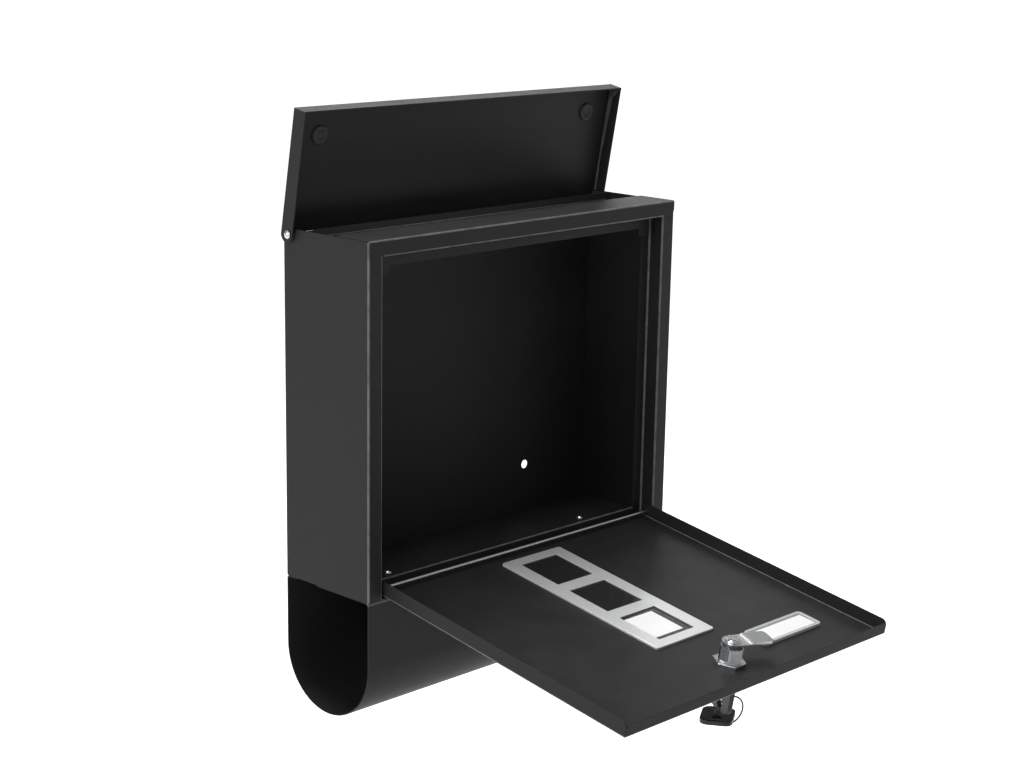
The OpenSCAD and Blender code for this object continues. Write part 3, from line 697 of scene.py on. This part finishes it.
makeWindowPlate()
softCopy("windowPane", "window_pane", "door", "smoke", "smoke_pane", 0.1 * mm)
softCopy("windowLabel", "window_label", "door", "paper", "paper", 0.03 * mm)

nameTray = {"wide": 76 * mm, "high": 25 * mm, "corner": 4 * mm, "rim": 3.2 * mm, "deep": 3 * mm,
            "sunk": 0.3 * mm, "floor": 0.6 * mm, "ease": 0.4 * mm}


def makeNameFrame():
    # a raised rim, and a sunk clear floor that the card shows through
    n = nameTray
    top = case["wall"] + n["deep"]
    halfWide, halfHigh = n["wide"] / 2, n["high"] / 2
    x, z = door["nameX"], door["nameUp"]
    # the rim takes the light grey finish that paints the light caught in the clear plastic
    for name, finish in (("nameFrame", "rim"), ("nameFrameFloor", "clear")):
        bm = roundedSheet(x - halfWide, x + halfWide, z - halfHigh, z + halfHigh, top, n["corner"], 8)
        middle = bm.faces[:][0]
        bmesh.ops.inset_region(bm, faces=[middle], thickness=n["rim"], use_boundary=True, use_even_offset=True)
        if finish == "rim":
            bmesh.ops.delete(bm, geom=[middle], context="FACES")
            grown = bmesh.ops.extrude_face_region(bm, geom=bm.faces[:])
            bmesh.ops.translate(bm, vec=(0, -n["deep"], 0), verts=pointsOf(grown))
            bmesh.ops.recalc_face_normals(bm, faces=bm.faces[:])
            look = {"soft": n["ease"]}
        else:
            bmesh.ops.delete(bm, geom=[face for face in bm.faces if face is not middle], context="FACES")
            bmesh.ops.translate(bm, vec=(0, -n["sunk"], 0), verts=bm.verts[:])
            faceOut(bm, (x, top, z), (0, 1, 0))
            look = {"wall": n["floor"]}
        finishPiece(name, bm, "door", finish, "name_frame", "clear_plastic", doorPlace, **look)


makeNameFrame()
softCopy("nameCard", "name_card", "door", "paper", "paper", 0.05 * mm)
softCopy("nameCover", "name_cover", "door", "clear", "clear_plastic", 0.1 * mm)
print("door made")

# ---- lock ----

lock = {
    "up": 239 * mm, "barrel": 9.5 * mm, "long": 17 * mm, "flats": 8.25 * mm, "pitch": 1.0 * mm,
    "thread": 0.4 * mm, "bore": 6.6 * mm, "flange": 11 * mm, "flangeThick": 2.2 * mm, "gasket": 0.6 * mm,
    "lead": 1.0 * mm, "chamfer": 0.5 * mm, "rimBack": 0.8 * mm, "rimRound": 0.2 * mm, "rimDeep": 0.3 * mm,
    "steps": 56,
}
lockPlace = doorPlace @ shift(0, 0, lock["up"]) @ turn(-90, "X")


def makeLockHousing():
    k = lock
    face = -k["gasket"] - k["flangeThick"]
    root = k["barrel"] - k["thread"]
    profile = [(k["bore"], face), (k["bore"] + k["chamfer"], face), (k["flange"] - k["rimBack"], face),
               (k["flange"] - k["rimRound"], face + k["rimDeep"]), (k["flange"], face + k["lead"]),
               (k["flange"], -k["gasket"]), (root, -k["gasket"]), (root, k["lead"])]
    height = k["lead"]
    while height < k["long"] - k["pitch"] - 0.1 * tiny:
        profile += [(k["barrel"], height + 0.5 * k["pitch"]), (root, height + k["pitch"])]
        height += k["pitch"]
    profile += [(k["barrel"] - k["chamfer"], k["long"]), (k["bore"], k["long"])]
    bm = spun(profile, Matrix.Identity(4), k["steps"])
    for side in (-1, 1):  # milled flats along the thread
        above = [vert for vert in bm.verts if vert.co.z > -k["gasket"] - 0.1 * tiny]
        keep = set(above)
        parts = [part for part in bm.edges[:] + bm.faces[:] if set(part.verts) <= keep]
        bmesh.ops.bisect_plane(bm, geom=above + parts, dist=1e-7, plane_co=(side * k["flats"], 0, 0),
                               plane_no=(side, 0, 0), clear_outer=True)
    bmesh.ops.holes_fill(bm, edges=[edge for edge in bm.edges if edge.is_boundary], sides=0)
    bmesh.ops.recalc_face_normals(bm, faces=bm.faces[:])
    finishPiece("lockHousing", bm, "door", "nickel", "lock_housing", "nickel", lockPlace, smooth=30)


makeLockHousing()
softCopy("lockNut", "lock_nut", "door", "nickel", "nickel", 0.5 * mm)
softCopy("lockGasket", "lock_gasket", "door", "rubber", "rubber", 0.1 * mm)
softCopy("lockPlug", "lock_plug", "plug", "nickel", "nickel", 0.15 * mm)
softCopy("lockCam", "lock_cam", "plug", "nickel", "nickel", 0.3 * mm)
softCopy("camWasher", "cam_washer", "plug", "zinc", "zinc", 0.15 * mm)
softCopy("camScrew", "cam_screw", "plug", "zinc", "zinc", 0.15 * mm)
print("lock made")

# ---- keys ----

softCopy("keyHead", "key_head", "key", "keyBlack", "key_plastic", 1.0 * mm)
softCopy("keyBlade", "key_blade", "key", "nickel", "nickel", 0.25 * mm)
softCopy("keyRing", "key_ring", "ring", "wireBlack", "black_wire", 0)
softCopy("spareHead", "spare_head", "spare_key", "keyBlack", "key_plastic", 1.0 * mm)
softCopy("spareBlade", "spare_blade", "spare_key", "nickel", "nickel", 0.25 * mm)
print("keys made")

# ---- fasteners ----

for pieceName, node, finish in (
        ("rollScrews", "roll_screws", "zinc"), ("rollNuts", "roll_nuts", "zinc"),
        ("rodClips", "rod_clips", "zinc"), ("pivotScrews", "pivot_screws", "zinc"),
        ("pivotNuts", "pivot_nuts", "zinc"), ("lidSpacers", "lid_spacers", "nylon"),
        ("hingeRod", "hinge_rod", "zinc")):
    softCopy(pieceName, node, "case", finish, finish)
print("fasteners made")

# ---- studio ----

studio = {
    "floorDown": 0.55, "floorSize": 80, "world": 0.3,
    "floorTone": (0.9, 0.9, 0.9, 1), "floorGlow": 0.85, "floorDim": (0.08, 0.08, 0.08), "glowSpan": (0.15, 0.7),
    "eye": (-1.2367, -1.2862, 0.3987), "azimuth": 45.70, "down": 14.28, "roll": 1.01,
    "lens": 72.99, "shiftX": 0.0024, "shiftY": 0.0431,
    "lights": [  # name, place, aim, size, watts
        ("overhead", (-0.2, 0.4, 2.6), (0, -0.2, 0), 1.2, 62),
        ("left", (-2.7, -0.1, 0.7), (0, -0.1, 0), 1.2, 31),
        ("besideEye", (-2.1, -1.5, 1.2), (0, -0.1, 0), 0.5, 6.5),
        ("behind", (2.2, 2.2, 1.8), (0, -0.2, 0), 1.5, 20),
    ],
}


def lookMatrix(eye, aim):
    forward = (Vector(aim) - Vector(eye)).normalized()
    return Matrix.Translation(eye) @ forward.to_track_quat("-Z", "Y").to_matrix().to_4x4()


def makeStudio():
    s = studio
    scene = bpy.context.scene
    scene.view_settings.view_transform = "Standard"
    floorMesh = bpy.data.meshes.new("studioFloor")
    bm = bmesh.new()
    bmesh.ops.create_grid(bm, x_segments=1, y_segments=1, size=s["floorSize"] / 2)
    bmesh.ops.translate(bm, vec=(0, 0, cadBounds[0][2] - s["floorDown"]), verts=bm.verts[:])
    bm.to_mesh(floorMesh)
    bm.free()
    floorObject = bpy.data.objects.new("studioFloor", floorMesh)
    scene.collection.objects.link(floorObject)
    pale = Finish("paleFloor", Base_Color=s["floorTone"], Roughness=0.9, Specular_IOR_Level=0.0,
                  Emission_Strength=s["floorGlow"])
    # the floor glows behind the box and is dimmer under it and in front
    spots = pale.node("ShaderNodeTexCoord", output="Object")
    azimuth = radians(s["azimuth"])
    behind = pale.split(spots, 0) * sin(azimuth) + pale.split(spots, 1) * cos(azimuth)
    reach = pale.clamp(behind, *s["glowSpan"])
    pale.surface(Emission_Color=pale.blend(reach, s["floorDim"], (1, 1, 1)))
    floorMesh.materials.append(pale.material)
    world = bpy.data.worlds.new("studio")
    scene.world = world
    world.use_nodes = True
    background = world.node_tree.nodes["Background"]
    background.inputs["Color"].default_value = (1, 1, 1, 1)
    background.inputs["Strength"].default_value = s["world"]
    for name, place, aim, size, watts in s["lights"]:
        light = bpy.data.lights.new(name, "AREA")
        light.shape = "SQUARE"
        light.size = size
        light.energy = watts
        lamp = bpy.data.objects.new(name, light)
        lamp.matrix_world = lookMatrix(place, aim)
        scene.collection.objects.link(lamp)
    lens = bpy.data.cameras.new("camera")
    lens.sensor_width = 36
    lens.lens = s["lens"]
    lens.shift_x = s["shiftX"]
    lens.shift_y = s["shiftY"]
    lens.clip_end = 200
    camera = bpy.data.objects.new("camera", lens)
    scene.collection.objects.link(camera)
    down, roll = radians(s["down"]), radians(s["roll"])
    forward = Vector((sin(azimuth) * cos(down), cos(azimuth) * cos(down), -sin(down)))
    right = Vector((cos(azimuth), -sin(azimuth), 0))
    up = right.cross(forward)
    tiltedRight = right * cos(roll) + up * sin(roll)
    tiltedUp = up * cos(roll) - right * sin(roll)
    camera.matrix_world = Matrix((
        (tiltedRight.x, tiltedUp.x, -forward.x, s["eye"][0]),
        (tiltedRight.y, tiltedUp.y, -forward.y, s["eye"][1]),
        (tiltedRight.z, tiltedUp.z, -forward.z, s["eye"][2]),
        (0, 0, 0, 1)))
    scene.camera = camera


makeStudio()
print("studio made")
